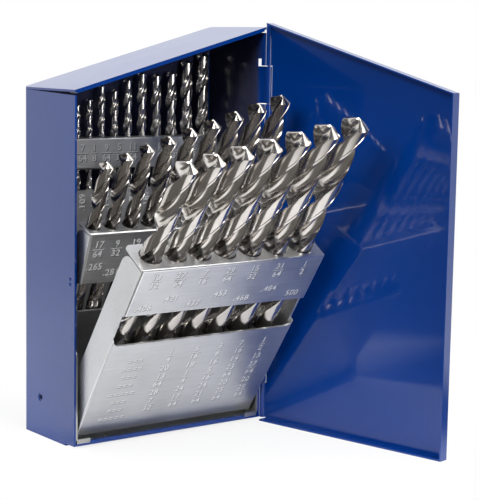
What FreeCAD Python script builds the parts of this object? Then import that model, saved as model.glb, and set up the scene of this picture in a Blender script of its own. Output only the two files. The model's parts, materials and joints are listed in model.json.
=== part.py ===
"""Folding drill index: a steel case with a hinged door and three racks of twist drills that fan forward.

Millimetres, +Z up. The origin is the centre of the case on the surface it stands on, the open
front faces -Y and the door hangs on the +X side. Everything is placed as displayed: the door open
past square, the front and middle racks leaning out and the back rack upright.
"""
import FreeCAD, Part
import math
import os

V = FreeCAD.Vector
PAST = 1.0                  # a cutting shape runs this far past the sheet it cuts
X_AXIS = V(1, 0, 0)
Z_AXIS = V(0, 0, 1)

# Case: one folded sheet, open at the front, with a top that rises towards the hinge.
CASE_WIDTH = 108.0
CASE_DEPTH = 46.5
LOW_SIDE_HEIGHT = 165.0
HIGH_SIDE_HEIGHT = 195.0
CASE_SHEET = 1.0
CASE_REAR_BEND = 2.4
FLOOR_LIFT = 1.0            # the side walls lap under the floor, which leaves the door's flange room in front
LAP_SETBACK = 7.5
LAP_WIDTH = 12.0
TOP_FLAP_SPRING = 1.5       # the top flap stands off the side walls by this much at the front
FLOOR_HEM_SHEET = 0.9
FLOOR_HEM_GAP = 0.2         # floor hem from the stop tabs and from the carrier plate
TOP_HEM_DEPTH = 6.0
TOP_HEM_SHEET = 0.8

# Door: a shallow pan that closes over the outside of the case.
DOOR_SHEET = 0.8
DOOR_SIDE_GAP = 0.3
DOOR_TOP_GAP = 1.2
DOOR_FACE_GAP = 0.3
DOOR_FLANGE = 5.8
DOOR_BEND = 1.1
DOOR_OPEN_DEG = 101.5
DETENT_HEIGHT = 77.7        # twin dimples that snap the shut door to the case wall
DETENT_SETBACK = 3.4
DETENT_PITCH = 2.4
DETENT_RADIUS = 1.2
DETENT_PRESS = 0.45

# Hinge: rolled knuckles on one long wire.
BARREL_RADIUS = 1.6
WIRE_RADIUS = 0.8
WIRE_CLEARANCE = 0.06
WIRE_TAIL = 0.8
HINGE_OUT = 1.75            # wire axis outside the case wall
HINGE_FRONT = 0.4           # wire axis in front of the case wall's edge
KNUCKLE_HEIGHT = 18.0
LOW_KNUCKLE = 19.0
HIGH_KNUCKLE = 158.0
KNUCKLE_GAP = 0.35
TONGUE_REACH = 5.8          # fold line of the case's hinge tongues, behind the front edge
TONGUE_SHEET = 0.8
RELIEF_HEIGHT = 3.7
RELIEF_REACH = 3.6
DOOR_ROOT = 0.6             # space between the door's flanges and the barrel

# Carrier: a plated U bracket on the case floor that the racks hang in.
CARRIER_SHEET = 1.0
CHEEK_HEIGHT = 44.0
CHEEK_FRONT_GAP = 0.05
CHEEK_BACK_GAP = 1.5        # clears the rounded inner corners of the case
CHEEK_CORNER = 3.0
PLATE_SETBACK = 2.0
TAB_WIDTH = 7.2
TAB_HEIGHT = 1.2
BUMP_HEIGHT = 14.0
BUMP_RADIUS = 1.7
BUMP_PRESS = 0.7
BUMP_SETBACK = 2.0

# Racks: each one a folded sheet with a drilled shelf, a label strip, a window and two side flanges.
RACK_SHEET = 1.0
RACK_SIDE_GAP = 1.0         # swinging racks stand this far from the cheeks
HOLE_CLEARANCE = 0.25
HOLE_SIDES = 16
SHELF_RELIEF = 0.4
SHELF_CORNER = 6.0
WINDOW_CORNER = 4.0
WINDOW_SIDE_CUT = 1.2
WINDOW_OVERCUT = 0.01
FOLDED_CORNER = 2.5
TOE_CLEARANCE = 0.1         # the leaning racks rest their toes on the carrier
SEAT_SHEET = 1.0
SEAT_LIP = 6.0
SEAT_FRONT_GAP = 0.2

FRONT_LEAN = 33.4
FRONT_HEIGHT = 101.0
FRONT_FLANGE = 15.7
FRONT_SHELF = 17.6
FRONT_ROW = 9.2             # drill row behind the face
FRONT_STRIP = 27.0
FRONT_WINDOW = 17.5
FRONT_SEAT_LOW = 19.4       # seat at the thin end of the row
FRONT_SEAT_HIGH = 21.9
FRONT_THIN_SIDE = 8.8       # first and last drill from the rack's sides
FRONT_THICK_SIDE = 9.9
FRONT_PIVOT_BACK = 10.0     # pivot behind the face
FRONT_PIVOT_UP = 1.9        # pivot above the face's lower edge
FRONT_PIVOT_Y = -12.0
FRONT_PIVOT_Z = 12.0

MIDDLE_LEAN = 21.2
MIDDLE_HEIGHT = 102.8
MIDDLE_FLANGE = 11.6
MIDDLE_SHELF = 12.6
MIDDLE_ROW = 6.6
MIDDLE_STRIP = 26.3
MIDDLE_WINDOW = 14.0
MIDDLE_SEAT_LOW = 30.5
MIDDLE_SEAT_HIGH = 37.4
MIDDLE_THIN_SIDE = 4.7
MIDDLE_THICK_SIDE = 7.7
MIDDLE_PIVOT_BACK = 7.8
MIDDLE_PIVOT_UP = 11.6
MIDDLE_PIVOT_Y = 7.7
MIDDLE_PIVOT_Z = 18.5

BACK_HEIGHT = 102.0
BACK_FLANGE = 9.3
BACK_SHELF = 9.2
BACK_ROW = 4.8
BACK_STRIP = 15.1
BACK_WINDOW = 9.8
BACK_THIN_SIDE = 6.5
BACK_THICK_SIDE = 6.9
# The back seat is stepped so that even the shortest drills stand clear of the shelf: its height under each.
BACK_TREADS = (62.5, 62.0, 58.5, 51.5, 51.0, 54.5, 46.0, 48.0, 45.0, 41.0, 39.0, 41.5, 42.0)
BACK_WALL_GAP = 0.4         # back rack's flanges from the rear wall
BACK_TOP = 140.7
BACK_RIVET_Z = 30.0

# Pivot rivets: shouldered, with a head inside the rack's flange.
RIVET_RADIUS = 1.5
TUBE_RADIUS = 1.9           # the tubular pair, seen from outside the case
RIVET_CLEARANCE = 0.05
RIVET_HEAD_RADIUS = 2.7
RIVET_HEAD = 0.8
RIVET_FREE_PLAY = 0.15
TUBE_BORE_RADIUS = 1.2
TUBE_BORE_DEPTH = 1.6
RIVET_SET_BACK = 0.3        # tubular ends stay this far inside the wall's outer face
RIVET_SET_IN = 0.05         # solid ends stay this far inside the cheek's outer face

# Twist drills of the jobber series, numbered by their diameter in 64ths of an inch.
INCH = 25.4
BACK_DRILLS = range(4, 17)
MIDDLE_DRILLS = range(17, 26)
FRONT_DRILLS = range(26, 33)
LENGTH_EIGHTHS = {4: 15, 5: 16, 6: 18, 7: 21, 8: 22, 9: 23, 10: 25, 11: 26}
SIZE_AFTER_TABLE = 12
LENGTH_AFTER_TABLE = 28     # eighths of an inch at 12/64, and one more for each 64th
THIN_SHANK = 25.4
SHANK_GROWTH = 0.2          # shank length gained with each 64th
HELIX_DEG = 30.0
POINT_DEG = 118.0
FLUTE_STEP_DEG = 75.0
SHANK_SLIM = 0.985
RUN_OUT = 1.2               # length over which the flutes start, in radii
POINT_TURN_DEG = -66.0      # every drill is turned alike, as its point shows
# Half of the fluted section: the angle round the drill and the share of its radius.
LAND_AND_FLUTE = ((-28.0, 1.0), (20.0, 1.0), (62.0, 0.5), (108.0, 0.36))

HALF_WIDTH = CASE_WIDTH / 2
HALF_DEPTH = CASE_DEPTH / 2
TOP_SLOPE = (HIGH_SIDE_HEIGHT - LOW_SIDE_HEIGHT) / CASE_WIDTH
TOP_COS = 1 / math.hypot(1, TOP_SLOPE)
HINGE_X = HALF_WIDTH + HINGE_OUT
HINGE_Y = -HALF_DEPTH - HINGE_FRONT
WIRE_BORE = WIRE_RADIUS + WIRE_CLEARANCE
FLOOR_TOP = FLOOR_LIFT + CASE_SHEET
PLATE_TOP = FLOOR_TOP + CARRIER_SHEET
CHEEK_OUTER = HALF_WIDTH - CASE_SHEET
CHEEK_INNER = CHEEK_OUTER - CARRIER_SHEET
SWING_HALF = CHEEK_INNER - RACK_SIDE_GAP
BACK_FACE_Y = HALF_DEPTH - CASE_SHEET - BACK_WALL_GAP - BACK_FLANGE


def box(x0, x1, y0, y1, z0, z1):
    """Box between two corners."""
    return Part.makeBox(x1 - x0, y1 - y0, z1 - z0, V(x0, y0, z0))


def prism(points, along):
    """Solid of a closed outline moved along a vector."""
    outline = Part.makePolygon([V(*p) for p in points] + [V(*points[0])])
    return Part.Face(outline).extrude(along)


def front_outline(x0, x1, z0, rise, y0, y1):
    """Case-shaped solid from y0 to y1: flat below, and above parallel to the sloping top, rise higher."""
    points = [(x0, y0, z0), (x1, y0, z0), (x1, y0, top_height(x1) + rise), (x0, y0, top_height(x0) + rise)]
    return prism(points, V(0, y1 - y0, 0))


def top_height(x):
    """Outer height of the case top at x."""
    return LOW_SIDE_HEIGHT + (x + HALF_WIDTH) * TOP_SLOPE


def rounded(shape, radius, chosen):
    """Shape with a fillet on each straight edge whose midpoint and direction the test accepts."""
    edges = []
    for edge in shape.Edges:
        middle = edge.CenterOfMass
        along = edge.tangentAt(edge.FirstParameter)
        if chosen(middle, along):
            edges.append(edge)
    return shape.makeFillet(radius, edges)


def both_sides(shape):
    """The shape and its mirror image across the middle plane."""
    return [shape, shape.mirror(V(0, 0, 0), X_AXIS)]


def case_shell():
    """Walls, floor with laps, sloping top with its hem, and the two hinge tongues."""
    outer = front_outline(-HALF_WIDTH, HALF_WIDTH, 0, 0, -HALF_DEPTH, HALF_DEPTH)
    outer = rounded(outer, CASE_REAR_BEND, rear_upright)
    inside = front_outline(-CHEEK_OUTER, CHEEK_OUTER, FLOOR_TOP, -CASE_SHEET / TOP_COS,
                           -HALF_DEPTH - PAST, HALF_DEPTH - CASE_SHEET)
    inside = rounded(inside, CASE_REAR_BEND - CASE_SHEET, rear_upright)
    lap_start = LAP_SETBACK - HALF_DEPTH
    lap_inner = HALF_WIDTH - LAP_WIDTH
    under = box(-lap_inner, lap_inner, lap_start - PAST, HALF_DEPTH - CASE_SHEET, -PAST, FLOOR_LIFT)
    toe_space = box(-HALF_WIDTH - PAST, HALF_WIDTH + PAST, -HALF_DEPTH - PAST, lap_start, -PAST, FLOOR_LIFT)
    shell = outer.cut([inside, under, toe_space] + flap_gaps())
    shell = shell.fuse([top_hem(), floor_hem()])
    for base in (LOW_KNUCKLE, HIGH_KNUCKLE):
        shell = hinge_tongue(shell, base)
    hole = wall_round(TUBE_RADIUS + RIVET_CLEARANCE, MIDDLE_PIVOT_Y, MIDDLE_PIVOT_Z,
                      CHEEK_OUTER - PAST, CASE_SHEET + 2 * PAST)
    shell = shell.cut(both_sides(hole))
    return detent_dimples(shell)


def rear_upright(middle, along):
    """Whether an edge is one of the case's upright rear corners."""
    return abs(along.z) > 0.9 and middle.y > HALF_DEPTH - 2 * CASE_SHEET


def flap_gaps():
    """Thin wedges that part the top flap from the side walls, widest at the open front."""
    gaps = []
    for x0, x1, low in ((-HALF_WIDTH - PAST, -CHEEK_OUTER, -HALF_WIDTH),
                        (CHEEK_OUTER, HALF_WIDTH + PAST, CHEEK_OUTER)):
        z = top_height(low) - CASE_SHEET / TOP_COS
        back = HALF_DEPTH - CASE_SHEET
        front = -HALF_DEPTH - PAST
        points = [(x0, back, z), (x0, front, z), (x0, front, z - TOP_FLAP_SPRING)]
        gaps.append(prism(points, V(x1 - x0, 0, 0)))
    return gaps


def top_hem():
    """Second thickness folded back under the front edge of the top."""
    under = (CASE_SHEET + TOP_HEM_SHEET) / TOP_COS
    upper = CASE_SHEET / TOP_COS
    points = []
    for x, drop in ((-CHEEK_OUTER, under), (CHEEK_OUTER, under), (CHEEK_OUTER, upper), (-CHEEK_OUTER, upper)):
        points.append((x, -HALF_DEPTH, top_height(x) - drop))
    return prism(points, V(0, TOP_HEM_DEPTH, 0))


def floor_hem():
    """Second thickness folded back over the front edge of the floor, between the stop tabs."""
    reach = CHEEK_INNER + CARRIER_SHEET / 3 - TAB_WIDTH - FLOOR_HEM_GAP
    depth = CHEEK_FRONT_GAP + PLATE_SETBACK - FLOOR_HEM_GAP
    return box(-reach, reach, -HALF_DEPTH, depth - HALF_DEPTH, FLOOR_TOP, FLOOR_TOP + FLOOR_HEM_SHEET)


def hinge_tongue(shell, base):
    """Cut a tongue free of the right wall, lean it out and roll its end round the wire."""
    fold = -HALF_DEPTH + TONGUE_REACH
    top = base + KNUCKLE_HEIGHT
    through = (CHEEK_OUTER - PAST, HALF_WIDTH + PAST)
    window = box(*through, -HALF_DEPTH - PAST, fold, base - KNUCKLE_GAP, top + KNUCKLE_GAP)
    low = box(*through, fold - RELIEF_REACH, fold, base - RELIEF_HEIGHT, base)
    high = box(*through, fold - RELIEF_REACH, fold, top, top + RELIEF_HEIGHT)
    shell = shell.cut([window, low, high])
    rim = HINGE_X + BARREL_RADIUS
    root = HINGE_Y + WIRE_RADIUS / 4
    points = [(CHEEK_OUTER, fold, base), (HALF_WIDTH, fold, base), (rim, root, base),
              (rim - TONGUE_SHEET, root, base)]
    tongue = prism(points, V(0, 0, KNUCKLE_HEIGHT))
    bore = Part.makeCylinder(WIRE_BORE, KNUCKLE_HEIGHT + 2 * PAST, V(HINGE_X, HINGE_Y, base - PAST), Z_AXIS)
    return shell.fuse([tongue, barrel(base, top)]).cut(bore)


def barrel(low, high):
    """One rolled knuckle between two heights."""
    return Part.makeCylinder(BARREL_RADIUS, high - low, V(HINGE_X, HINGE_Y, low), Z_AXIS)


def punched(radius, x, y, z, height):
    """Upright many-sided punch whose flats stand at the radius."""
    reach = radius / math.cos(math.pi / HOLE_SIDES)
    corners = []
    for i in range(HOLE_SIDES):
        a = 2 * math.pi * (i + 0.5) / HOLE_SIDES
        corners.append((x + reach * math.cos(a), y + reach * math.sin(a), z))
    return prism(corners, V(0, 0, height))


def wall_round(radius, y, z, x, length):
    """Cylinder along X that starts at x."""
    return Part.makeCylinder(radius, length, V(x, y, z), X_AXIS)


def cap_pair(x, y, z, direction):
    """Two small domes one above the other, bulging from the plane at x towards the direction."""
    sphere = (DETENT_RADIUS**2 + DETENT_PRESS**2) / (2 * DETENT_PRESS)
    centre_x = x - direction * (sphere - DETENT_PRESS)
    domes = []
    for step in (-0.5, 0.5):
        domes.append(Part.makeSphere(sphere, V(centre_x, y, z + step * DETENT_PITCH)))
    return domes


def detent_dimples(shell):
    """Twin dimples pressed into the left wall near the front edge."""
    return shell.cut(cap_pair(-HALF_WIDTH, -HALF_DEPTH + DETENT_SETBACK, DETENT_HEIGHT, 1))


def door_panel():
    """Pan with three flanges and rolled knuckles, built shut and then swung open."""
    face_y = -HALF_DEPTH - DOOR_FACE_GAP
    front_y = face_y - DOOR_SHEET
    left = -HALF_WIDTH - DOOR_SIDE_GAP - DOOR_SHEET
    root = HINGE_X - BARREL_RADIUS - DOOR_ROOT
    rise = (DOOR_TOP_GAP + DOOR_SHEET) / TOP_COS
    outer = front_outline(left, root, 0, rise, front_y, front_y + DOOR_FLANGE)
    outer = rounded(outer, DOOR_BEND, lambda m, d: m.y < front_y + 0.1 and m.x < root - 0.1)
    inside = front_outline(left + DOOR_SHEET, root + PAST, DOOR_SHEET, DOOR_TOP_GAP / TOP_COS,
                           face_y, front_y + DOOR_FLANGE + PAST)
    pan = outer.cut(inside)
    edge = HINGE_X - (WIRE_BORE + BARREL_RADIUS) / 2
    leaf_top = top_height(root) + DOOR_TOP_GAP / TOP_COS
    for low, high in door_knuckles(leaf_top):
        leaf = box(root - PAST, edge, front_y, face_y, low, high)
        pan = pan.fuse([leaf, barrel(low, high)])
    bore = Part.makeCylinder(WIRE_BORE, leaf_top + 2 * PAST, V(HINGE_X, HINGE_Y, -PAST), Z_AXIS)
    snaps = cap_pair(left + DOOR_SHEET, -HALF_DEPTH + DETENT_SETBACK, DETENT_HEIGHT, 1)
    keep = box(left + DOOR_SHEET, 0, front_y, 0, 0, LOW_SIDE_HEIGHT)
    pan = pan.cut(bore).fuse([dome.common(keep) for dome in snaps])
    return swung(pan)


def door_knuckles(leaf_top):
    """Heights of the door's knuckles, between and beyond those of the case."""
    return [(FLOOR_LIFT, LOW_KNUCKLE - KNUCKLE_GAP),
            (LOW_KNUCKLE + KNUCKLE_HEIGHT + KNUCKLE_GAP, HIGH_KNUCKLE - KNUCKLE_GAP),
            (HIGH_KNUCKLE + KNUCKLE_HEIGHT + KNUCKLE_GAP, leaf_top)]


def swung(shape):
    """Shape turned from shut to the displayed opening of the door."""
    shape.rotate(V(HINGE_X, HINGE_Y, 0), Z_AXIS, DOOR_OPEN_DEG)
    return shape


def hinge_wire():
    """Straight wire through every knuckle."""
    root = HINGE_X - BARREL_RADIUS - DOOR_ROOT
    top = top_height(root) + DOOR_TOP_GAP / TOP_COS
    length = top + WIRE_TAIL - FLOOR_LIFT
    return Part.makeCylinder(WIRE_RADIUS, length, V(HINGE_X, HINGE_Y, FLOOR_LIFT), Z_AXIS)


def rack_carrier():
    """Plate on the case floor with a cheek up each side wall and two stop tabs at its front corners."""
    front = -HALF_DEPTH + CHEEK_FRONT_GAP
    back = HALF_DEPTH - CASE_SHEET - CHEEK_BACK_GAP
    plate = box(-CHEEK_OUTER, CHEEK_OUTER, front + PLATE_SETBACK, back, FLOOR_TOP, PLATE_TOP)
    cheek = box(CHEEK_INNER, CHEEK_OUTER, front, back, FLOOR_TOP, FLOOR_TOP + CHEEK_HEIGHT)
    cheek = rounded(cheek, CHEEK_CORNER, lambda m, d: abs(d.x) > 0.9 and m.y < 0)
    tab_outer = CHEEK_INNER + CARRIER_SHEET / 3
    tab_inner = tab_outer - TAB_WIDTH
    foot = box(tab_inner, tab_outer, front, front + PLATE_SETBACK, FLOOR_TOP, PLATE_TOP)
    lip = box(tab_inner, tab_outer, front, front + CARRIER_SHEET, FLOOR_TOP, PLATE_TOP + TAB_HEIGHT)
    ball = (BUMP_RADIUS**2 + BUMP_PRESS**2) / (2 * BUMP_PRESS)
    centre = V(CHEEK_INNER - BUMP_PRESS + ball, front + BUMP_SETBACK, FLOOR_TOP + BUMP_HEIGHT)
    bump = Part.makeSphere(ball, centre)
    bump = bump.common(box(0, CHEEK_INNER, front, 0, 0, FLOOR_TOP + CHEEK_HEIGHT))
    pieces = []
    for piece in (cheek, foot, lip, bump):
        pieces += both_sides(piece)
    carrier = plate.fuse(pieces).removeSplitter()
    holes = []
    for radius, y, z in ((RIVET_RADIUS, FRONT_PIVOT_Y, FRONT_PIVOT_Z),
                         (TUBE_RADIUS, MIDDLE_PIVOT_Y, MIDDLE_PIVOT_Z),
                         (RIVET_RADIUS, back_row_y(), BACK_RIVET_Z)):
        hole = wall_round(radius + RIVET_CLEARANCE, y, z, CHEEK_INNER - PAST, CARRIER_SHEET + 2 * PAST)
        holes += both_sides(hole)
    return carrier.cut(holes)


def back_row_y():
    """Y of the upright row of drills."""
    return BACK_FACE_Y + BACK_ROW


def drill_diameter(size):
    """Diameter from the size in 64ths."""
    return size * INCH / 64


def drill_length(size):
    """Overall length from the size in 64ths."""
    eighths = LENGTH_EIGHTHS.get(size, LENGTH_AFTER_TABLE + size - SIZE_AFTER_TABLE)
    return eighths * INCH / 8


def shank_length(size):
    """Plain length below the flutes."""
    return THIN_SHANK + (size - BACK_DRILLS[0]) * SHANK_GROWTH


def row_places(sizes, start, end):
    """X of each drill from start to end, with the same web of sheet between neighbouring holes."""
    steel = sum(drill_diameter(s) for s in sizes) - (drill_diameter(sizes[0]) + drill_diameter(sizes[-1])) / 2
    web = (end - start - steel) / (len(sizes) - 1)
    places = [start]
    for thin, thick in zip(sizes[:-1], sizes[1:]):
        places.append(places[-1] + web + (drill_diameter(thin) + drill_diameter(thick)) / 2)
    return places


def ring(radius, turn, z, reaches):
    """Corners round the drill at one height, with each corner's share of the radius."""
    corners = []
    for half in (0, 180):
        for (angle, _), reach in zip(LAND_AND_FLUTE, reaches):
            a = math.radians(angle + half + turn)
            corners.append(V(radius * reach * math.cos(a), radius * reach * math.sin(a), z))
    return corners


def twist_drill(size):
    """Round shank, then lands and flutes wound as a right-hand helix up to the point."""
    radius = drill_diameter(size) / 2
    shank = shank_length(size)
    point = radius / math.tan(math.radians(POINT_DEG / 2))
    shoulder = drill_length(size) - point
    pitch = math.pi * 2 * radius / math.tan(math.radians(HELIX_DEG))
    plain = [SHANK_SLIM] * len(LAND_AND_FLUTE)
    fluted = [reach for _, reach in LAND_AND_FLUTE]
    start = shank + radius * RUN_OUT
    turns_deg = 360 * (shoulder - start) / pitch
    steps = math.ceil(turns_deg / FLUTE_STEP_DEG)
    shank_turn = POINT_TURN_DEG - turns_deg
    rings = [ring(radius, shank_turn, 0, plain), ring(radius, shank_turn, shank, plain)]
    for i in range(steps + 1):
        turn = POINT_TURN_DEG - turns_deg * (steps - i) / steps
        rings.append(ring(radius, turn, start + (shoulder - start) * i / steps, fluted))
    return wound_solid(rings, V(0, 0, shoulder + point))


def facet(*corners):
    """Flat face through its corners."""
    return Part.Face(Part.makePolygon(list(corners) + [corners[0]]))


def wound_solid(rings, apex):
    """Solid of flat facets through a stack of turned rings, closed by a point at the top."""
    faces = [facet(*reversed(rings[0]))]
    for low, high in zip(rings[:-1], rings[1:]):
        for k in range(len(low)):
            after = (k + 1) % len(low)
            faces.append(facet(low[k], low[after], high[after]))
            faces.append(facet(low[k], high[after], high[k]))
    top = rings[-1]
    for k in range(len(top)):
        faces.append(facet(top[k], top[(k + 1) % len(top)], apex))
    return Part.Solid(Part.Shell(faces))


def gap_middle(before, after):
    """Middle of a gap between two edges."""
    return (before + after) / 2


def riser_shifts(line):
    """Sideways shift of each corner of a stepped line that keeps its risers one sheet thick."""
    shifts = [0.0] * len(line)
    for i in range(len(line) - 1):
        rise = line[i + 1][1] - line[i][1]
        if line[i + 1][0] == line[i][0] and rise:
            shift = math.copysign(SEAT_SHEET, rise)
            shifts[i] = shift
            shifts[i + 1] = shift
    return shifts


def height_on(line, x):
    """Height of a line at x."""
    for (x0, z0), (x1, z1) in zip(line[:-1], line[1:]):
        if x0 < x1 and x <= x1:
            return z0 + (z1 - z0) * (x - x0) / (x1 - x0)
    return line[-1][1]


class Rack:
    """One rack's sizes, in a frame whose origin is its pivot while the rack stands upright."""

    def __init__(self, half, height, flange, shelf, row, strip, window, margins, pivot, place, lean, sizes):
        self.half = half
        self.height = height
        self.flange = flange
        self.shelf = shelf
        self.row = row
        self.strip = strip
        self.window = window
        self.sizes = sizes
        self.places = row_places(sizes, margins[0] - half, half - margins[1])
        self.face_y = -pivot[0]
        self.low = -pivot[1]
        self.rivet = pivot[2]
        self.place = V(0, *place)
        self.lean = lean
        self.high = self.low + height

    def placed(self, shape):
        """Shape moved from the upright frame to where the rack is displayed."""
        shape.rotate(V(0, 0, 0), X_AXIS, self.lean)
        shape.translate(self.place)
        return shape

    def toe(self):
        """Length of the flanges below the face that brings them down to the carrier plate."""
        lean = math.radians(self.lean)
        drop = self.place.z + self.face_y * math.sin(lean) + self.low * math.cos(lean)
        return (drop - PLATE_TOP - TOE_CLEARANCE) / math.cos(lean)

    def sheet(self):
        """Face, drilled shelf, label strip, window and side flanges."""
        y = self.face_y
        face = box(-self.half, self.half, y, y + RACK_SHEET, self.low, self.high)
        shelf = box(-self.half, self.half, y, y + self.shelf, self.high - RACK_SHEET, self.high)
        shelf = rounded(shelf, FOLDED_CORNER, lambda m, d: abs(d.z) > 0.9 and m.y > y + 1)
        flange = box(self.half - RACK_SHEET, self.half, y, y + self.flange, self.low - self.toe(),
                     self.high - RACK_SHEET - SHELF_RELIEF)
        flange = rounded(flange, SHELF_CORNER, lambda m, d: abs(d.x) > 0.9 and m.z > 0 and m.y > y + 1)
        flange = rounded(flange, FOLDED_CORNER, lambda m, d: abs(d.x) > 0.9 and m.z < 0 and m.y > y + 1)
        sheet = face.fuse([shelf] + both_sides(flange)).removeSplitter()
        return sheet.cut(self.holes() + [self.window_cut()])

    def holes(self):
        """Shelf holes and the pivot holes in the flanges."""
        cuts = []
        for x, size in zip(self.places, self.sizes):
            radius = drill_diameter(size) / 2 + HOLE_CLEARANCE
            cuts.append(punched(radius, x, self.face_y + self.row, self.high - RACK_SHEET - PAST,
                                RACK_SHEET + 2 * PAST))
        cuts += both_sides(wall_round(self.rivet + RIVET_CLEARANCE, 0, 0, self.half - RACK_SHEET - PAST,
                                      RACK_SHEET + 2 * PAST))
        return cuts

    def window_cut(self):
        """Opening across the whole face and both side folds, rounded at its lower corners."""
        top = self.high - self.strip
        reach = self.half + WINDOW_OVERCUT
        cut = box(-reach, reach, self.face_y - PAST,
                  self.face_y + RACK_SHEET + WINDOW_SIDE_CUT, top - self.window, top)
        return rounded(cut, WINDOW_CORNER, lambda m, d: abs(d.y) > 0.9 and m.z < top - self.window / 2)

    def seat_back(self):
        """Y of the rear edge of the seat."""
        return self.face_y + self.flange - FOLDED_CORNER

    def seat_front(self):
        """Y of the front edge of the seat."""
        return self.face_y + RACK_SHEET + SEAT_FRONT_GAP

    def seat(self, top):
        """Strip that the shanks stand on, below its top line, with an end lip against each flange."""
        across = V(0, self.seat_back() - self.seat_front(), 0)
        under = []
        for (x, z), shift in zip(top, riser_shifts(top)):
            under.append((x + shift, z - SEAT_SHEET))
        corners = [(x, self.seat_front(), z) for x, z in top + under[::-1]]
        pieces = [prism(corners, across)]
        for (end, z), inward in ((top[0], SEAT_SHEET), (top[-1], -SEAT_SHEET)):
            pieces.append(box(min(end, end + inward), max(end, end + inward),
                              self.seat_front(), self.seat_back(), z - SEAT_LIP, z - SEAT_SHEET / 2))
        return pieces[0].fuse(pieces[1:]).removeSplitter()

    def slope(self, low, high):
        """Top line of a straight seat that rises from the thin end to the thick end."""
        span = self.half - RACK_SHEET
        return [(-span, self.low + low), (span, self.low + high)]

    def stairs(self, treads):
        """Top line of a stepped seat, with a level tread under each drill."""
        span = self.half - RACK_SHEET
        bounds = [-span] + [gap_middle(*pair) for pair in self.neighbours()] + [span]
        line = []
        for start, end, height in zip(bounds[:-1], bounds[1:], treads):
            line += [(start, self.low + height), (end, self.low + height)]
        return line

    def neighbours(self):
        """Edges of the two drills on each side of every gap in the row."""
        edges = []
        for i in range(len(self.sizes) - 1):
            thin = self.places[i] + drill_diameter(self.sizes[i]) / 2
            thick = self.places[i + 1] - drill_diameter(self.sizes[i + 1]) / 2
            edges.append((thin, thick))
        return edges

    def drills(self, top):
        """Every drill of the row standing on a seat with that top line, by size."""
        standing = {}
        for x, size in zip(self.places, self.sizes):
            radius = drill_diameter(size) / 2 * SHANK_SLIM
            base = max(height_on(top, x - radius), height_on(top, x + radius))
            drill = twist_drill(size)
            drill.translate(V(x, self.face_y + self.row, base))
            standing[size] = drill
        return standing

    def rivets(self, outer_end, tubular):
        """Pair of shouldered rivets from inside the flange out to outer_end."""
        head_x = self.half - RACK_SHEET - RIVET_FREE_PLAY
        head = wall_round(RIVET_HEAD_RADIUS, 0, 0, head_x - RIVET_HEAD, RIVET_HEAD)
        shank = wall_round(self.rivet, 0, 0, head_x - RIVET_HEAD / 2, outer_end - head_x + RIVET_HEAD / 2)
        rivet = head.fuse(shank)
        if tubular:
            bore_start = outer_end - TUBE_BORE_DEPTH
            rivet = rivet.cut(wall_round(TUBE_BORE_RADIUS, 0, 0, bore_start, TUBE_BORE_DEPTH + PAST))
        return Part.makeCompound([self.placed(side) for side in both_sides(rivet)])


def front_rack():
    """Front rack, leaning furthest."""
    return Rack(SWING_HALF, FRONT_HEIGHT, FRONT_FLANGE, FRONT_SHELF, FRONT_ROW, FRONT_STRIP, FRONT_WINDOW,
                (FRONT_THIN_SIDE, FRONT_THICK_SIDE), (FRONT_PIVOT_BACK, FRONT_PIVOT_UP, RIVET_RADIUS),
                (FRONT_PIVOT_Y, FRONT_PIVOT_Z), FRONT_LEAN, FRONT_DRILLS)


def middle_rack():
    """Middle rack."""
    return Rack(SWING_HALF, MIDDLE_HEIGHT, MIDDLE_FLANGE, MIDDLE_SHELF, MIDDLE_ROW, MIDDLE_STRIP,
                MIDDLE_WINDOW, (MIDDLE_THIN_SIDE, MIDDLE_THICK_SIDE),
                (MIDDLE_PIVOT_BACK, MIDDLE_PIVOT_UP, TUBE_RADIUS),
                (MIDDLE_PIVOT_Y, MIDDLE_PIVOT_Z), MIDDLE_LEAN, MIDDLE_DRILLS)


def back_rack():
    """Upright rack, riveted to the cheeks with its flanges reaching down to the plate."""
    low = BACK_TOP - BACK_HEIGHT
    return Rack(CHEEK_INNER, BACK_HEIGHT, BACK_FLANGE, BACK_SHELF, BACK_ROW, BACK_STRIP, BACK_WINDOW,
                (BACK_THIN_SIDE, BACK_THICK_SIDE), (BACK_ROW, BACK_RIVET_Z - low, RIVET_RADIUS),
                (back_row_y(), BACK_RIVET_Z), 0.0, BACK_DRILLS)


def fraction(size):
    """Size in 64ths as a name in lowest terms."""
    shared = math.gcd(size, 64)
    return f"{size // shared}_{64 // shared}"


def save(name, shape):
    """Write one piece."""
    shape.exportStep(os.path.join("parts", name + ".step"))
    print(name, round(shape.Volume, 1), "mm3", "valid" if shape.isValid() else "NOT VALID")


def main():
    os.makedirs("parts", exist_ok=True)
    save("case_shell", case_shell())
    save("door_panel", door_panel())
    save("hinge_wire", hinge_wire())
    save("rack_carrier", rack_carrier())
    cheek_end = CHEEK_OUTER - RIVET_SET_IN
    wall_end = HALF_WIDTH - RIVET_SET_BACK
    front = front_rack()
    middle = middle_rack()
    back = back_rack()
    for name, rack, top, outer_end, tubular in (
            ("back_rack", back, back.stairs(BACK_TREADS), cheek_end, False),
            ("middle_rack", middle, middle.slope(MIDDLE_SEAT_LOW, MIDDLE_SEAT_HIGH), wall_end, True),
            ("front_rack", front, front.slope(FRONT_SEAT_LOW, FRONT_SEAT_HIGH), cheek_end, False)):
        save(name, rack.placed(rack.sheet()))
        save(name + "_seat", rack.placed(rack.seat(top)))
        save(name + "_rivets", rack.rivets(outer_end, tubular))
        for size, drill in rack.drills(top).items():
            save("drill_" + fraction(size), rack.placed(drill))


main()
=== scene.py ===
# %% [markdown]
# A folding drill index stands open on a pale floor. It is a painted steel case with a door on one side,
# and three folded steel racks hold twenty-nine twist drills that fan out towards the front.
# The exact model of its metalwork is already made, so this lesson starts by loading it as a fixed frame.
# Everything here is in metres, and each new piece goes where the frame says.

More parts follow.
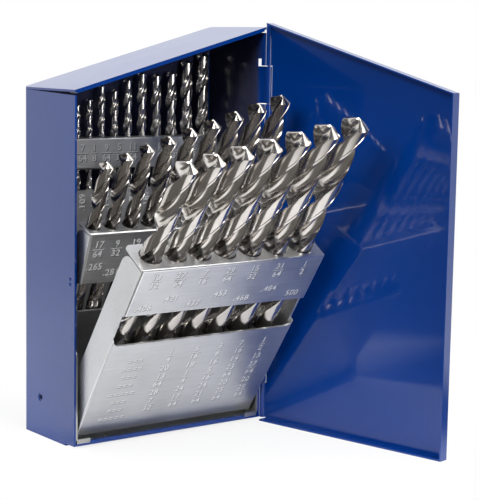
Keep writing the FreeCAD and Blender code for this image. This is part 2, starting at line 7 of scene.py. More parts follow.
# %% Load the frame
import bmesh
import bpy
import json
import math
from mathutils import Matrix, Vector

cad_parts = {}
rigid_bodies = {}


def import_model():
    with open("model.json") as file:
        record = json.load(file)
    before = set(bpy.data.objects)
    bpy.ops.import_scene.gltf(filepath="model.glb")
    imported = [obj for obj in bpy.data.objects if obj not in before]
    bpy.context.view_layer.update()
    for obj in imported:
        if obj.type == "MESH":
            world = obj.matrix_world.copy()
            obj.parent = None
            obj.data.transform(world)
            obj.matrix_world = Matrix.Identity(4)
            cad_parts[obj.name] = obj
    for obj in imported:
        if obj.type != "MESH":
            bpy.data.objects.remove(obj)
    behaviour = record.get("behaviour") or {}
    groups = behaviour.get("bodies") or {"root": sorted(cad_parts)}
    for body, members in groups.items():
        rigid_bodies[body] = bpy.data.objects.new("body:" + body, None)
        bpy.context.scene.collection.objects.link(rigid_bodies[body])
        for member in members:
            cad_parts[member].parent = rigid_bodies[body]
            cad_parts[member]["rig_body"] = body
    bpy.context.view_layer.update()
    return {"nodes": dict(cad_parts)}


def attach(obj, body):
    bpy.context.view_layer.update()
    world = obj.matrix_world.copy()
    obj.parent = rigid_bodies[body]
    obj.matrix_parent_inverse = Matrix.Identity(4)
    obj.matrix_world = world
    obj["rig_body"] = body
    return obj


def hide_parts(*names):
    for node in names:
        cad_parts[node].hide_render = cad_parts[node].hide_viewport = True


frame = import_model()
MM = 0.001

# %% [markdown]
# The camera stands a little above the table and well to the left of the case, so that the open front,
# the left wall and the inside of the door all show. A long lens from almost a metre away keeps the
# upright edges nearly parallel. Its three axes are written as unit vectors, which is exact and needs
# no guesswork with angles: a camera looks along its own -Z, and +Y is up in its picture.

# %% The camera
RIGHT = Vector((0.798121, -0.602252, 0.017198))
UP = Vector((0.065797, 0.115498, 0.991126))
AHEAD = Vector((0.598894, 0.789907, -0.131808))
CAMERA_PLACE = Vector((-412.94, -619.62, 186.05)) * MM
PICTURE_HEIGHT = 500
FOCAL_PIXELS = 1540.37
SENSOR = 36.0

camera_data = bpy.data.cameras.new("camera")
camera_data.sensor_fit = "AUTO"
camera_data.sensor_width = SENSOR
camera_data.lens = FOCAL_PIXELS * SENSOR / PICTURE_HEIGHT
camera_data.clip_start = 0.01
camera = bpy.data.objects.new("camera", camera_data)
turn = Matrix((RIGHT, UP, -AHEAD)).transposed().to_4x4()
camera.matrix_world = Matrix.Translation(CAMERA_PLACE) @ turn
bpy.context.scene.collection.objects.link(camera)
bpy.context.scene.camera = camera
print("lens", round(camera_data.lens, 1), "mm")

# %% [markdown]
# A product like this is lit by large soft boxes. Two stand high in front, where the leaning racks mirror
# them, one stands on the left for the painted wall and the door, one hangs overhead, and a narrow strip
# low in front gives the upright drills their bright lines. An area lamp is the simplest soft box: it has
# a size, so its shadows and its reflections both have soft edges.

# %% Soft boxes
scene = bpy.context.scene
scene.view_settings.view_transform = "Standard"
MIDDLE = Vector((0.0, 0.0, 0.1))


def soft_box(name, place, width, height, power):
    """Area lamp at a place, turned to face the middle of the object."""
    lamp_data = bpy.data.lights.new(name, "AREA")
    lamp_data.shape = "RECTANGLE"
    lamp_data.size = width
    lamp_data.size_y = height
    lamp_data.energy = power
    lamp = bpy.data.objects.new(name, lamp_data)
    lamp.location = place
    lamp.rotation_euler = (Vector(place) - MIDDLE).to_track_quat("Z", "Y").to_euler()
    scene.collection.objects.link(lamp)
    print(name, "of", power, "watts")


soft_box("front soft box", (0.05, -0.80, 1.25), 0.60, 0.45, 9.0)
soft_box("right soft box", (0.95, -0.66, 1.12), 0.60, 0.50, 6.0)
soft_box("strip light", (0.08, -1.20, 0.22), 0.14, 0.60, 3.0)
soft_box("left soft box", (-1.25, -0.55, 0.85), 0.70, 0.70, 13.0)
soft_box("top soft box", (-0.10, -0.15, 1.50), 0.80, 0.80, 9.5)

# %% [markdown]
# Every look below is a small tree of shader nodes. The same few steps come back in all of them, so each
# is written once: add a node with its settings, feed a socket, calculate with numbers, and carry a value
# from one range to another.

# %% Helpers for node trees
def add_node(tree, kind, **settings):
    """New node of a tree, with its settings."""
    node = tree.nodes.new(kind)
    for label, value in settings.items():
        setattr(node, label, value)
    return node


def feed(tree, socket, value):
    """Link another socket to this one, or give it a plain value."""
    if hasattr(value, "links"):
        tree.links.new(value, socket)
    else:
        socket.default_value = value


def sums(tree, operation, *values):
    """Math node between sockets or numbers."""
    node = add_node(tree, "ShaderNodeMath", operation=operation)
    for socket, value in zip(node.inputs, values):
        feed(tree, socket, value)
    return node.outputs[0]


def product(tree, first, *others):
    """Several masks multiplied together."""
    for other in others:
        first = sums(tree, "MULTIPLY", first, other)
    return first


def ranged(tree, value, low, high, to_low=0.0, to_high=1.0, kind="LINEAR"):
    """Value carried from one range of numbers to another, and held at both ends."""
    node = add_node(tree, "ShaderNodeMapRange", interpolation_type=kind)
    numbers = {"Value": value, "From Min": low, "From Max": high, "To Min": to_low, "To Max": to_high}
    for label, number in numbers.items():
        feed(tree, node.inputs[label], number)
    return node.outputs["Result"]


def stepped(tree, value, low, high, to_low=0.0, to_high=1.0):
    """The same, with a soft start and end."""
    return ranged(tree, value, low, high, to_low, to_high, "SMOOTHSTEP")


def vector_value(tree, operation, *vectors):
    """Vector Math node that gives a number, from sockets or plain vectors."""
    node = add_node(tree, "ShaderNodeVectorMath", operation=operation)
    for socket, vector in zip(node.inputs, vectors):
        feed(tree, socket, vector)
    return node.outputs["Value"]


def split(tree, vector):
    """The three numbers of a vector."""
    node = add_node(tree, "ShaderNodeSeparateXYZ")
    feed(tree, node.inputs[0], vector)
    return node.outputs


# %% [markdown]
# The room is a plain white studio. Straight from the camera it is pure white, and so it is in the
# reflections on the side behind the object. The part of the room behind the camera is left dim, as it
# is in a real studio, and that is what gives polished steel its dark bands. The ceiling is dimmer too.

# %% The room
ROOM_AHEAD = (0.605, 0.796, 0.0)    # level, from the camera's side to the far wall
CEILING_FROM = 0.55                 # a direction that rises more than this meets the ceiling
CEILING_DIMMING = 0.42
DIM_WALL = (0.10, 0.10, 0.11, 1)
PURE_WHITE = (1, 1, 1, 1)
WALL_TURNS = (0.40, 0.50)           # from the dim wall behind the camera to the white one

world = bpy.data.worlds.new("studio")
scene.world = world
world.use_nodes = True
room = world.node_tree
room.nodes.clear()
way = add_node(room, "ShaderNodeTexCoord").outputs["Generated"]
facing = sums(room, "MULTIPLY_ADD", vector_value(room, "DOT_PRODUCT", way, ROOM_AHEAD), 0.5, 0.5)
ceiling = ranged(room, split(room, way)["Z"], CEILING_FROM, 1.0, 0.0, CEILING_DIMMING)
wall = add_node(room, "ShaderNodeValToRGB")
for end, turns, tone in zip(wall.color_ramp.elements, WALL_TURNS, (DIM_WALL, PURE_WHITE)):
    end.position = turns
    end.color = tone
feed(room, wall.inputs[0], sums(room, "SUBTRACT", facing, ceiling))
room_light = add_node(room, "ShaderNodeBackground")
feed(room, room_light.inputs["Color"], wall.outputs["Color"])
room_seen = add_node(room, "ShaderNodeBackground")
feed(room, room_seen.inputs["Color"], PURE_WHITE)
room_mix = add_node(room, "ShaderNodeMixShader")
feed(room, room_mix.inputs[0], add_node(room, "ShaderNodeLightPath").outputs["Is Camera Ray"])
feed(room, room_mix.inputs[1], room_light.outputs[0])
feed(room, room_mix.inputs[2], room_seen.outputs[0])
room_out = add_node(room, "ShaderNodeOutputWorld")
feed(room, room_out.inputs["Surface"], room_mix.outputs[0])
print("the room is made of", len(room.nodes), "nodes")

# %% [markdown]
# The floor is a wide pale sheet. Close to the object it is ordinary matt white that takes the shadow,
# and further out it fades into the white of the room, so that no horizon line shows. Towards the camera
# the sheet turns dark about 20 cm from the middle, and a dark card lies at the left: studios put such
# cards round bright metal, which then shows a dark band beside its white one. The camera's own rays see
# white in both places. One plain square does all this, because its material can tell places and rays.

# %% The floor
FLOOR_SIZE = 6.0
MATT_WHITE = (0.88, 0.88, 0.885, 1)
DARK = (0.10, 0.095, 0.09, 1)
SHEET_END = (0.15, 0.22)            # metres from the middle
SHEET_SIDE = (0.02, -0.12)          # cosine to the way ahead: below 0 is the camera's side
CARD_X = (-0.056, -0.068)
CARD_Y = (0.015, -0.045)
SEEN_END = (0.11, 0.15)             # the camera's own rays see white from a little before each edge
SEEN_SIDE = (0.15, 0.02)
SEEN_CARD_X = (-0.032, -0.056)
SEEN_CARD_Y = (0.045, 0.015)
FADE = (0.10, 0.45)
FADE_FROM = 0.80
MIRRORED = (0.35, 0.90)             # far floor behind the object, which is as white as the room in mirrors
MIRRORED_SIDE = (0.05, 0.25)

half = FLOOR_SIZE / 2
floor_mesh = bpy.data.meshes.new("floor")
floor_mesh.from_pydata([(-half, -half, 0), (half, -half, 0), (half, half, 0), (-half, half, 0)], [],
                       [(0, 1, 2, 3)])
floor = bpy.data.objects.new("floor", floor_mesh)
scene.collection.objects.link(floor)
floor_look = bpy.data.materials.new("studio_floor")
floor_look.use_nodes = True
tree = floor_look.node_tree
tree.nodes.clear()

where = add_node(tree, "ShaderNodeTexCoord").outputs["Object"]
place = split(tree, where)
distance = vector_value(tree, "LENGTH", where)
away = add_node(tree, "ShaderNodeVectorMath", operation="NORMALIZE")
feed(tree, away.inputs[0], where)
ahead = vector_value(tree, "DOT_PRODUCT", away.outputs[0], (AHEAD.x, AHEAD.y, 0))
past_sheet = product(tree, stepped(tree, distance, *SHEET_END), stepped(tree, ahead, *SHEET_SIDE))
on_card = product(tree, stepped(tree, place["X"], *CARD_X), stepped(tree, place["Y"], *CARD_Y))
colour = add_node(tree, "ShaderNodeMix", data_type="RGBA")
feed(tree, colour.inputs["Factor"], sums(tree, "MAXIMUM", past_sheet, on_card))
feed(tree, colour.inputs["A"], MATT_WHITE)
feed(tree, colour.inputs["B"], DARK)
matt = add_node(tree, "ShaderNodeBsdfDiffuse")
feed(tree, matt.inputs["Color"], colour.outputs["Result"])

path = add_node(tree, "ShaderNodeLightPath").outputs
mirrored = product(tree, path["Is Glossy Ray"], stepped(tree, ahead, *MIRRORED_SIDE),
                   stepped(tree, distance, *MIRRORED))
near_end = product(tree, stepped(tree, distance, *SEEN_END), stepped(tree, ahead, *SEEN_SIDE))
near_card = product(tree, stepped(tree, place["X"], *SEEN_CARD_X), stepped(tree, place["Y"], *SEEN_CARD_Y))
faded = stepped(tree, distance, *FADE, FADE_FROM, 1.0)
plain = sums(tree, "MAXIMUM", faded, sums(tree, "MAXIMUM", near_card, near_end))
seen = product(tree, path["Is Camera Ray"], plain)
glow = add_node(tree, "ShaderNodeEmission")
feed(tree, glow.inputs["Color"], PURE_WHITE)
blend = add_node(tree, "ShaderNodeMixShader")
feed(tree, blend.inputs["Fac"], sums(tree, "MAXIMUM", mirrored, seen))
feed(tree, blend.inputs[1], matt.outputs[0])
feed(tree, blend.inputs[2], glow.outputs[0])
floor_out = add_node(tree, "ShaderNodeOutputMaterial")
feed(tree, floor_out.inputs["Surface"], blend.outputs[0])
floor_mesh.materials.append(floor_look)
print("the floor is", FLOOR_SIZE, "m wide and its look is made of", len(tree.nodes), "nodes")

# %% [markdown]
# Two effects turn up in several finishes, so each is made once as a node group. The first is a fine
# grain: noise that is stretched along one direction, like the lines that rolling and grinding leave in
# steel. The second is a slow waviness and dust that makes no surface quite even.

# %% Shared effects
def new_group(name, inputs, outputs):
    """Empty shader node group with a vector and number inputs, and named number outputs."""
    group = bpy.data.node_groups.new(name, "ShaderNodeTree")
    group.interface.new_socket("Vector", in_out="INPUT", socket_type="NodeSocketVector")
    for label, value in inputs.items():
        socket = group.interface.new_socket(label, in_out="INPUT", socket_type="NodeSocketFloat")
        socket.default_value = value
    for label in outputs:
        group.interface.new_socket(label, in_out="OUTPUT", socket_type="NodeSocketFloat")
    return group, group.nodes.new("NodeGroupInput").outputs, group.nodes.new("NodeGroupOutput").inputs


def noise(tree, vector, scale, detail=3.0, roughness=0.5):
    """Noise texture over a vector."""
    node = add_node(tree, "ShaderNodeTexNoise")
    for label, value in (("Vector", vector), ("Scale", scale), ("Detail", detail), ("Roughness", roughness)):
        feed(tree, node.inputs[label], value)
    return node.outputs["Fac"]


grain, entry, leave = new_group("drawn grain", {"Scale": 900.0, "Amount": 0.2}, ("Height", "Tone"))
lines = noise(grain, entry["Vector"], entry["Scale"], 4.0, 0.6)
feed(grain, leave["Height"], lines)
feed(grain, leave["Tone"], product(grain, sums(grain, "SUBTRACT", lines, 0.5), entry["Amount"]))

uneven, entry, leave = new_group("uneven finish", {"Scale": 30.0, "Low": 0.2, "High": 0.3},
                                 ("Roughness", "Mask"))
patches = noise(uneven, entry["Vector"], entry["Scale"], 5.0, 0.55)
feed(uneven, leave["Roughness"], ranged(uneven, patches, 0.3, 0.7, entry["Low"], entry["High"]))
feed(uneven, leave["Mask"], patches)
print("shared effects:", grain.name, "and", uneven.name)

# %% [markdown]
# Each finish is a material of its own. They all start from the same few nodes: a place for the texture,
# a Principled shader and the output. Then come the shared effects, a colour that runs between two tones,
# and a bump that bends the light without moving the surface.

# %% Starting a material
def new_finish(name, colour, metallic, roughness):
    """Material with a Principled shader, and the parts of it that the finishes build on."""
    look = bpy.data.materials.new(name)
    look.use_nodes = True
    tree = look.node_tree
    shader = tree.nodes["Principled BSDF"]
    shader.inputs["Base Color"].default_value = (*colour, 1)
    shader.inputs["Metallic"].default_value = metallic
    shader.inputs["Roughness"].default_value = roughness
    where = tree.nodes.new("ShaderNodeTexCoord").outputs["Object"]
    return look, tree, shader, where


def stretched(tree, vector, scale):
    """Vector scaled along each axis."""
    node = add_node(tree, "ShaderNodeMapping")
    feed(tree, node.inputs["Vector"], vector)
    feed(tree, node.inputs["Scale"], scale)
    return node.outputs[0]


def place_group(tree, group, vector, **values):
    """Put a shared effect in a material, with its own values."""
    node = add_node(tree, "ShaderNodeGroup", node_tree=group)
    feed(tree, node.inputs["Vector"], vector)
    for label, value in values.items():
        feed(tree, node.inputs[label], value)
    return node.outputs


def bumped(tree, shader, height, distance, strength=1.0, before=None):
    """Bump node that feeds the shader's normal."""
    node = add_node(tree, "ShaderNodeBump")
    feed(tree, node.inputs["Strength"], strength)
    feed(tree, node.inputs["Distance"], distance)
    feed(tree, node.inputs["Height"], height)
    if before is not None:
        feed(tree, node.inputs["Normal"], before)
    feed(tree, shader.inputs["Normal"], node.outputs[0])
    return node.outputs[0]


def shaded(tree, shader, dark, light, amount):
    """Base colour that runs between two colours by an amount from 0 to 1."""
    ramp = add_node(tree, "ShaderNodeValToRGB")
    ramp.color_ramp.elements[0].color = (*dark, 1)
    ramp.color_ramp.elements[1].color = (*light, 1)
    feed(tree, ramp.inputs[0], amount)
    feed(tree, shader.inputs["Base Color"], ramp.outputs[0])
    return ramp.outputs[0]


# %% [markdown]
# The case is sprayed a deep glossy blue and baked. A thick coat of enamel dries with a faint
# orange-peel, which bends the edges of every reflection. A clear coat over a coloured base gives that
# depth, and two sizes of bump give the waviness.
#
# Little light reaches the depth of the case, so shade is painted there: the blue turns dull and almost
# black, and most of the clear coat is taken away. The material could be split in two, but a mask made from
# the place of each point keeps it in one, and lets the painted shade come in softly behind the opening.
# The rear right corner is left out of the painted shade and stays full blue.

# %% Blue enamel
TOP_SLOPE = 0.2778
INSIDE_X = 53.5 * MM
INSIDE_BACK = 22.8 * MM
INSIDE_LOW = 1.5 * MM
INSIDE_ROOF = 179.6 * MM
OPENING_Y = -23.0 * MM
DIM_Y = -16.0 * MM          # from here inwards the painted shade is at its darkest
CORNER_X = 52.3 * MM
CORNER_Y = 21.6 * MM
# painted shade: the near-black that the blue turns to inside the case
SHADE_BLUE = (0.040, 0.039, 0.060, 1)
SHADE_SHARE = 0.85
CLEAR_COAT = 0.8
SHADE_COAT_LOSS = 0.7             # how much of the clear coat the painted shade takes away

blue_paint, tree, shader, where = new_finish("blue_enamel", (0.0, 0.03, 0.22), 0.0, 0.3)
patchy = place_group(tree, uneven, where, Scale=22.0, Low=0.16, High=0.24)
feed(tree, shader.inputs["Roughness"], patchy["Roughness"])
full_blue = shaded(tree, shader, (0.0, 0.033, 0.215), (0.0, 0.042, 0.262), patchy["Mask"])

place = split(tree, where)
roof = sums(tree, "SUBTRACT", place["Z"], sums(tree, "MULTIPLY", place["X"], TOP_SLOPE))
inside = product(tree, sums(tree, "LESS_THAN", sums(tree, "ABSOLUTE", place["X"]), INSIDE_X),
                 sums(tree, "GREATER_THAN", place["Z"], INSIDE_LOW),
                 sums(tree, "LESS_THAN", roof, INSIDE_ROOF),
                 sums(tree, "LESS_THAN", place["Y"], INSIDE_BACK))
# the rear right corner is kept out of the painted shade and stays full blue
in_corner = product(tree, inside, sums(tree, "GREATER_THAN", place["X"], CORNER_X),
                    sums(tree, "GREATER_THAN", place["Y"], CORNER_Y))
# painted shade: inside the case the blue darkens and loses its clear coat, more towards the back
painted_shade = product(tree, sums(tree, "SUBTRACT", inside, in_corner), ranged(tree, place["Y"], OPENING_Y, DIM_Y))
paint = add_node(tree, "ShaderNodeMix", data_type="RGBA")
feed(tree, paint.inputs["Factor"], sums(tree, "MULTIPLY", painted_shade, SHADE_SHARE))
feed(tree, paint.inputs["A"], full_blue)
feed(tree, paint.inputs["B"], SHADE_BLUE)
feed(tree, shader.inputs["Base Color"], paint.outputs["Result"])
coat = sums(tree, "SUBTRACT", CLEAR_COAT, sums(tree, "MULTIPLY", painted_shade, SHADE_COAT_LOSS))
feed(tree, shader.inputs["Coat Weight"], coat)
peel = bumped(tree, shader, noise(tree, where, 330.0, 2.0), 0.00010, 0.35)
bumped(tree, shader, noise(tree, where, 40.0, 1.0), 0.0004, 0.25, peel)
shader.inputs["IOR"].default_value = 1.5
shader.inputs["Specular IOR Level"].default_value = 0.2
shader.inputs["Coat Roughness"].default_value = 0.04
shader.inputs["Coat IOR"].default_value = 1.5
print(blue_paint.name, "is made of", len(tree.nodes), "nodes")

# %% [markdown]
# The racks and their carrier are bright zinc-plated sheet. Rolling leaves very fine lines along the
# sheet and the plating softens them to a satin shine, slightly blue where it is clean. The lines of a
# rack run across it. Light is painted in as well: the front and back racks get lighter zinc than the
# middle one, and the rounded folds a much lighter one, a painted highlight.

# %% Zinc-plated sheet
ACROSS = (0.05, 1, 1)
INWARDS = (1, 0.06, 1)
UPWARDS = (1, 1, 0.05)


def zinc_finish(name, dark, light, low, high, stretch):
    """Satin zinc plate: roughness and grain direction differ a little from piece to piece, and so does
    colour, partly as painted light.
    """
    look, tree, shader, where = new_finish(name, light, 1.0, low)
    patchy = place_group(tree, uneven, where, Scale=34.0, Low=low, High=high)
    feed(tree, shader.inputs["Roughness"], patchy["Roughness"])
    lines = place_group(tree, grain, stretched(tree, where, stretch), Scale=1100.0, Amount=0.6)
    shaded(tree, shader, dark, light, sums(tree, "ADD", patchy["Mask"], lines["Tone"]))
    bumped(tree, shader, lines["Height"], 0.00002, 0.5)
    print(name, "is made of", len(tree.nodes), "nodes")
    return look


rack_zinc = zinc_finish("rack_zinc", (0.42, 0.43, 0.44), (0.72, 0.73, 0.74), 0.34, 0.42, ACROSS)
# painted light: lighter copies of the rack zinc for the front and back racks
front_zinc_painted_light = zinc_finish("front_zinc_painted_light", (0.48, 0.49, 0.50), (0.80, 0.81, 0.82), 0.34, 0.42, ACROSS)
back_zinc_painted_light = zinc_finish("back_zinc_painted_light", (0.55, 0.56, 0.57), (0.85, 0.86, 0.87), 0.44, 0.54, ACROSS)
# painted highlight: a much lighter zinc for the rounded folds
fold_zinc_painted_highlight = zinc_finish("fold_zinc_painted_highlight", (0.86, 0.87, 0.88), (0.97, 0.98, 0.99), 0.26, 0.34, UPWARDS)
carrier_zinc = zinc_finish("carrier_zinc", (0.40, 0.40, 0.39), (0.60, 0.60, 0.58), 0.25, 0.36, INWARDS)

# %% [markdown]
# The drills are ground high-speed steel. The wheel goes round the drill, so its scratches do too, and
# light from a soft box is drawn out into a long stripe beside the axis. Anisotropy makes that stripe,
# and it needs to know which way is round: the drill's own UV map says so.

# %% Polished steel
UV_MAP = "round_and_along"


def drill_finish(name, dark, light, low, high, drawn_out):
    """Ground steel of two tones and two roughnesses, with highlights drawn out along the axis."""
    look, tree, shader, where = new_finish(name, light, 1.0, low)
    unrolled = add_node(tree, "ShaderNodeUVMap", uv_map=UV_MAP).outputs[0]
    lines = place_group(tree, grain, stretched(tree, unrolled, (0.02, 1, 1)), Scale=2600.0, Amount=0.3)
    patchy = place_group(tree, uneven, where, Scale=160.0, Low=low, High=high)
    feed(tree, shader.inputs["Roughness"], patchy["Roughness"])
    shaded(tree, shader, dark, light, sums(tree, "ADD", patchy["Mask"], lines["Tone"]))
    bumped(tree, shader, lines["Height"], 0.000003, 0.15)
    shader.inputs["Anisotropic"].default_value = drawn_out
    shader.inputs["Anisotropic Rotation"].default_value = 0.25
    tangent = add_node(tree, "ShaderNodeTangent", direction_type="UV_MAP", uv_map=UV_MAP)
    feed(tree, shader.inputs["Tangent"], tangent.outputs[0])
    print(name, "is made of", len(tree.nodes), "nodes")
    return look


drill_steel = drill_finish("drill_steel", (0.50, 0.46, 0.42), (0.80, 0.77, 0.73), 0.14, 0.19, 0.4)
# painted shade: the middle drills stand in the shade of the case and get a darker copy of the steel
middle_steel_painted_shade = drill_finish("middle_drill_steel_painted_shade", (0.34, 0.31, 0.28), (0.62, 0.59, 0.56), 0.15, 0.20, 0.3)
# painted light: the small back drills get a lighter copy of the steel, with a broader, rounder shine
thin_steel_painted_light = drill_finish("thin_drill_steel_painted_light", (0.66, 0.63, 0.59), (0.95, 0.93, 0.90), 0.20, 0.26, 0.0)

# %% [markdown]
# The hinge wire is dark bare wire. The stamped numbers are bright raised burrs of bare metal, which
# catch more light than the plate round them, and each has a painted shadow below and right of it. In the
# shade of the case a mirror would show only the dark inside, so the numbers of those racks are plain
# white instead.

# %% Wire and numbers
def grained(tree, shader, vector, dark, light, **values):
    """Base colour of two tones along the grain, whose height is given back."""
    lines = place_group(tree, grain, vector, **values)
    shaded(tree, shader, dark, light, sums(tree, "ADD", lines["Tone"], 0.5))
    return lines["Height"]


def number_finish(name, metallic):
    """White metal of a stamped figure."""
    look, tree, shader, where = new_finish(name, (0.97, 0.98, 1.0), metallic, 0.42)
    height = grained(tree, shader, where, (0.93, 0.94, 0.95), (1.0, 1.0, 1.0), Scale=1500.0, Amount=0.8)
    bumped(tree, shader, height, 0.00003, 0.5)
    return look


wire_steel, tree, shader, where = new_finish("wire_steel", (0.2, 0.2, 0.21), 1.0, 0.35)
height = grained(tree, shader, stretched(tree, where, UPWARDS), (0.10, 0.10, 0.11), (0.22, 0.22, 0.23),
                 Scale=900.0, Amount=0.5)
bumped(tree, shader, height, 0.00001, 0.5)
number_bright = number_finish("number_bright", 0.45)
number_white = number_finish("number_white", 0.0)
# painted shadow: the dark finish of the copy under each figure
number_shadow, tree, shader, where = new_finish("number_shadow", (0.08, 0.08, 0.09), 0.6, 0.5)
grained(tree, shader, where, (0.06, 0.06, 0.07), (0.14, 0.14, 0.15), Scale=1500.0, Amount=0.8)
print("also made:", wire_steel.name, number_bright.name, number_white.name, number_shadow.name)

# %% [markdown]
# A twist drill is a round bar with two flutes ground along a helix. Seen end-on, each half of it is a
# land, with a narrow raised margin at its leading corner, and then the hollow of the flute. Two ways
# are common: twist a profile with a screw modifier, or place rings of corners one by one. The rings win
# here, because each corner line can then end at its own height and make the ground point.

# %% A drill's profile
LEAD_DEG = 20.0             # leading corner of the first land
LAND_DEG = 74.0
MARGIN_DEG = 10.0
MARGIN_SHARES = (0.06, 0.5, 1.0)
BODY_STEPS = 9
BODY_REACH = 0.955          # the land behind the margin is ground a little lower
HEEL_DROP = 0.02
WEB = 0.17                  # half of the steel left between the flutes
LIP_DEG = math.degrees(math.asin(WEB))
FLUTE_POINTS = ((0.80, 0.150), (0.62, 0.135), (0.45, 0.135), (0.30, 0.145), (0.16, 0.165), (0.03, 0.205),
                (-0.09, 0.265), (-0.19, 0.345), (-0.28, 0.445), (-0.35, 0.560), (-0.40, 0.690),
                (-0.430, 0.80))


def half_profile():
    """Corners of one half from heel to leading corner and down the flute, as (angle, reach)."""
    corners = []
    heel = LEAD_DEG - LAND_DEG
    for i in range(BODY_STEPS + 1):
        angle = heel + (LAND_DEG - MARGIN_DEG) * i / BODY_STEPS
        corners.append((angle, BODY_REACH if i else BODY_REACH - HEEL_DROP))
    for share in MARGIN_SHARES:
        corners.append((LEAD_DEG - MARGIN_DEG * (1 - share), 1.0))
    for u, v in FLUTE_POINTS:
        corners.append((math.degrees(math.atan2(v, u)) - LIP_DEG + LEAD_DEG, math.hypot(u, v)))
    return corners


HALF_PROFILE = half_profile()
PROFILE = [(angle + half_turn, reach) for half_turn in (0, 180) for angle, reach in HALF_PROFILE]
print("a drill's profile has", len(PROFILE), "corners")

# %% [markdown]
# The point is a cone of 118 degrees, ground lower behind each cutting lip. Each corner line of the
# profile simply stops where it meets that surface, so its height over any place is all that is needed.

# %% The ground point
INCH = 25.4 * MM
POINT_SLOPE = math.tan(math.radians(118.0 / 2))
LIP_RELIEF = 0.12
LIP_BLEND = 0.24            # width in radii over which one lip's relief becomes the other's


def tip_height(radius, angle, reach):
    """Height of the point's surface above the shoulder, over one place of the profile."""
    turned = math.radians(angle - LEAD_DEG + LIP_DEG)
    u = reach * math.cos(turned)
    v = reach * math.sin(turned)
    side = min(1.0, max(0.0, 0.5 + u / LIP_BLEND))
    behind = side * (WEB - v) + (1 - side) * (WEB + v)
    cone = (1 - reach) / POINT_SLOPE
    return radius * (cone - LIP_RELIEF * max(0.0, behind))


print("the point of a half-inch drill is", round(tip_height(INCH / 4, LEAD_DEG, 0.0) / MM, 1), "mm high")

# %% [markdown]
# The shank is round bar, and the flutes run out into it over about a radius. Every ring of corners is
# turned further than the one below, at the rate that makes a helix of 30 degrees at the rim, and a few
# smaller rings close the tip.

# %% Winding the drill
HELIX_DEG = 30.0
POINT_TURN_DEG = -66.0      # every drill is turned so that one land faces forward at its tip
SHANK_SLIM = 0.985          # this and the next three are in radii
SHANK_CHAMFER = 0.06
RUN_OUT_START = 0.2
RUN_OUT_END = 1.5
TIP_RINGS = (0.72, 0.46, 0.24, 0.09)    # shares of the profile
TWIST_STEP_DEG = 9.0
MIN_STEPS = 6


def wound_points(radius, length, shank):
    """Corners of a drill that stands on the origin, ring by ring from the foot to the tip."""
    pitch = 2 * math.pi * radius / math.tan(math.radians(HELIX_DEG))
    shoulder = length - radius / POINT_SLOPE
    phase = math.radians(POINT_TURN_DEG) - 2 * math.pi * shoulder / pitch
    flute_low = shank + radius * RUN_OUT_START
    steps = max(MIN_STEPS, round((shoulder - flute_low) / pitch * 360 / TWIST_STEP_DEG))
    points = []

    def add_corner(angle, reach, z):
        """Corner of a ring, turned by the helix at its height."""
        twist = math.radians(angle) + phase + 2 * math.pi * z / pitch
        points.append((radius * reach * math.cos(twist), radius * reach * math.sin(twist), z))

    for z, reach in ((0.0, SHANK_SLIM - SHANK_CHAMFER), (radius * SHANK_CHAMFER, SHANK_SLIM),
                     (shank * 0.5, SHANK_SLIM), (shank - radius * RUN_OUT_START, SHANK_SLIM)):
        for angle, full in PROFILE:
            add_corner(angle, reach, z)
    for i in range(steps + 1):
        for angle, full in PROFILE:
            top = shoulder + tip_height(radius, angle, full)
            z = flute_low + (top - flute_low) * (i / steps)
            grown = min(1.0, max(0.0, (z - flute_low) / (radius * (RUN_OUT_END - RUN_OUT_START))))
            grown = grown * grown * (3 - 2 * grown)
            add_corner(angle, SHANK_SLIM * (1 - grown) + full * grown, z)
    for scale in TIP_RINGS:
        for angle, full in PROFILE:
            add_corner(angle, full * scale, shoulder + tip_height(radius, angle, full * scale))
    return points


print("flutes of a half-inch drill rise",
      round(math.pi * INCH / 2 / math.tan(math.radians(HELIX_DEG)) / MM, 1), "mm in a turn")

# %% [markdown]
# Four-sided faces join the rings, and one many-sided face closes each end. The UV map unrolls the drill:
# the distance round it goes across and the height goes up. Where a face crosses the seam at the back,
# its corners on the far side get one whole turn more, so that the face is not stretched over the map.

# %% Faces and UV map
SHARP_DEG = 34


def ring_faces(count, rings):
    """Faces between rings of corners, with both ends closed."""
    faces = []
    for row in range(rings - 1):
        for k in range(count):
            after = (k + 1) % count
            faces.append((row * count + k, row * count + after, (row + 1) * count + after,
                          (row + 1) * count + k))
    faces.append(tuple(reversed(range(count))))
    faces.append(tuple(range((rings - 1) * count, rings * count)))
    return faces


def unroll(mesh, radius):
    """Give a drill its UV map."""
    whole_turn = 2 * math.pi * radius
    layer = mesh.uv_layers.new(name=UV_MAP)
    for loop in mesh.loops:
        x, y, z = mesh.vertices[loop.vertex_index].co
        layer.data[loop.index].uv = (math.atan2(y, x) * radius, z)
    for polygon in mesh.polygons:
        across = [layer.data[i].uv[0] for i in polygon.loop_indices]
        if max(across) - min(across) > whole_turn / 2:
            for i in polygon.loop_indices:
                if layer.data[i].uv[0] < 0:
                    layer.data[i].uv[0] += whole_turn


def wound_drill(name, radius, length, shank):
    """Mesh of a twist drill that stands on the origin."""
    points = wound_points(radius, length, shank)
    mesh = bpy.data.meshes.new(name)
    mesh.from_pydata(points, [], ring_faces(len(PROFILE), len(points) // len(PROFILE)))
    unroll(mesh, radius)
    for polygon in mesh.polygons:
        polygon.use_smooth = True
    mesh.set_sharp_from_angle(angle=math.radians(SHARP_DEG))
    mesh.validate()
    return mesh


# %% [markdown]
# A drill has to stand exactly where its place in the rack is. The frame's own drill gives that: the
# rack's lean turns the axis, and the lowest and highest corners along that axis are the two ends.

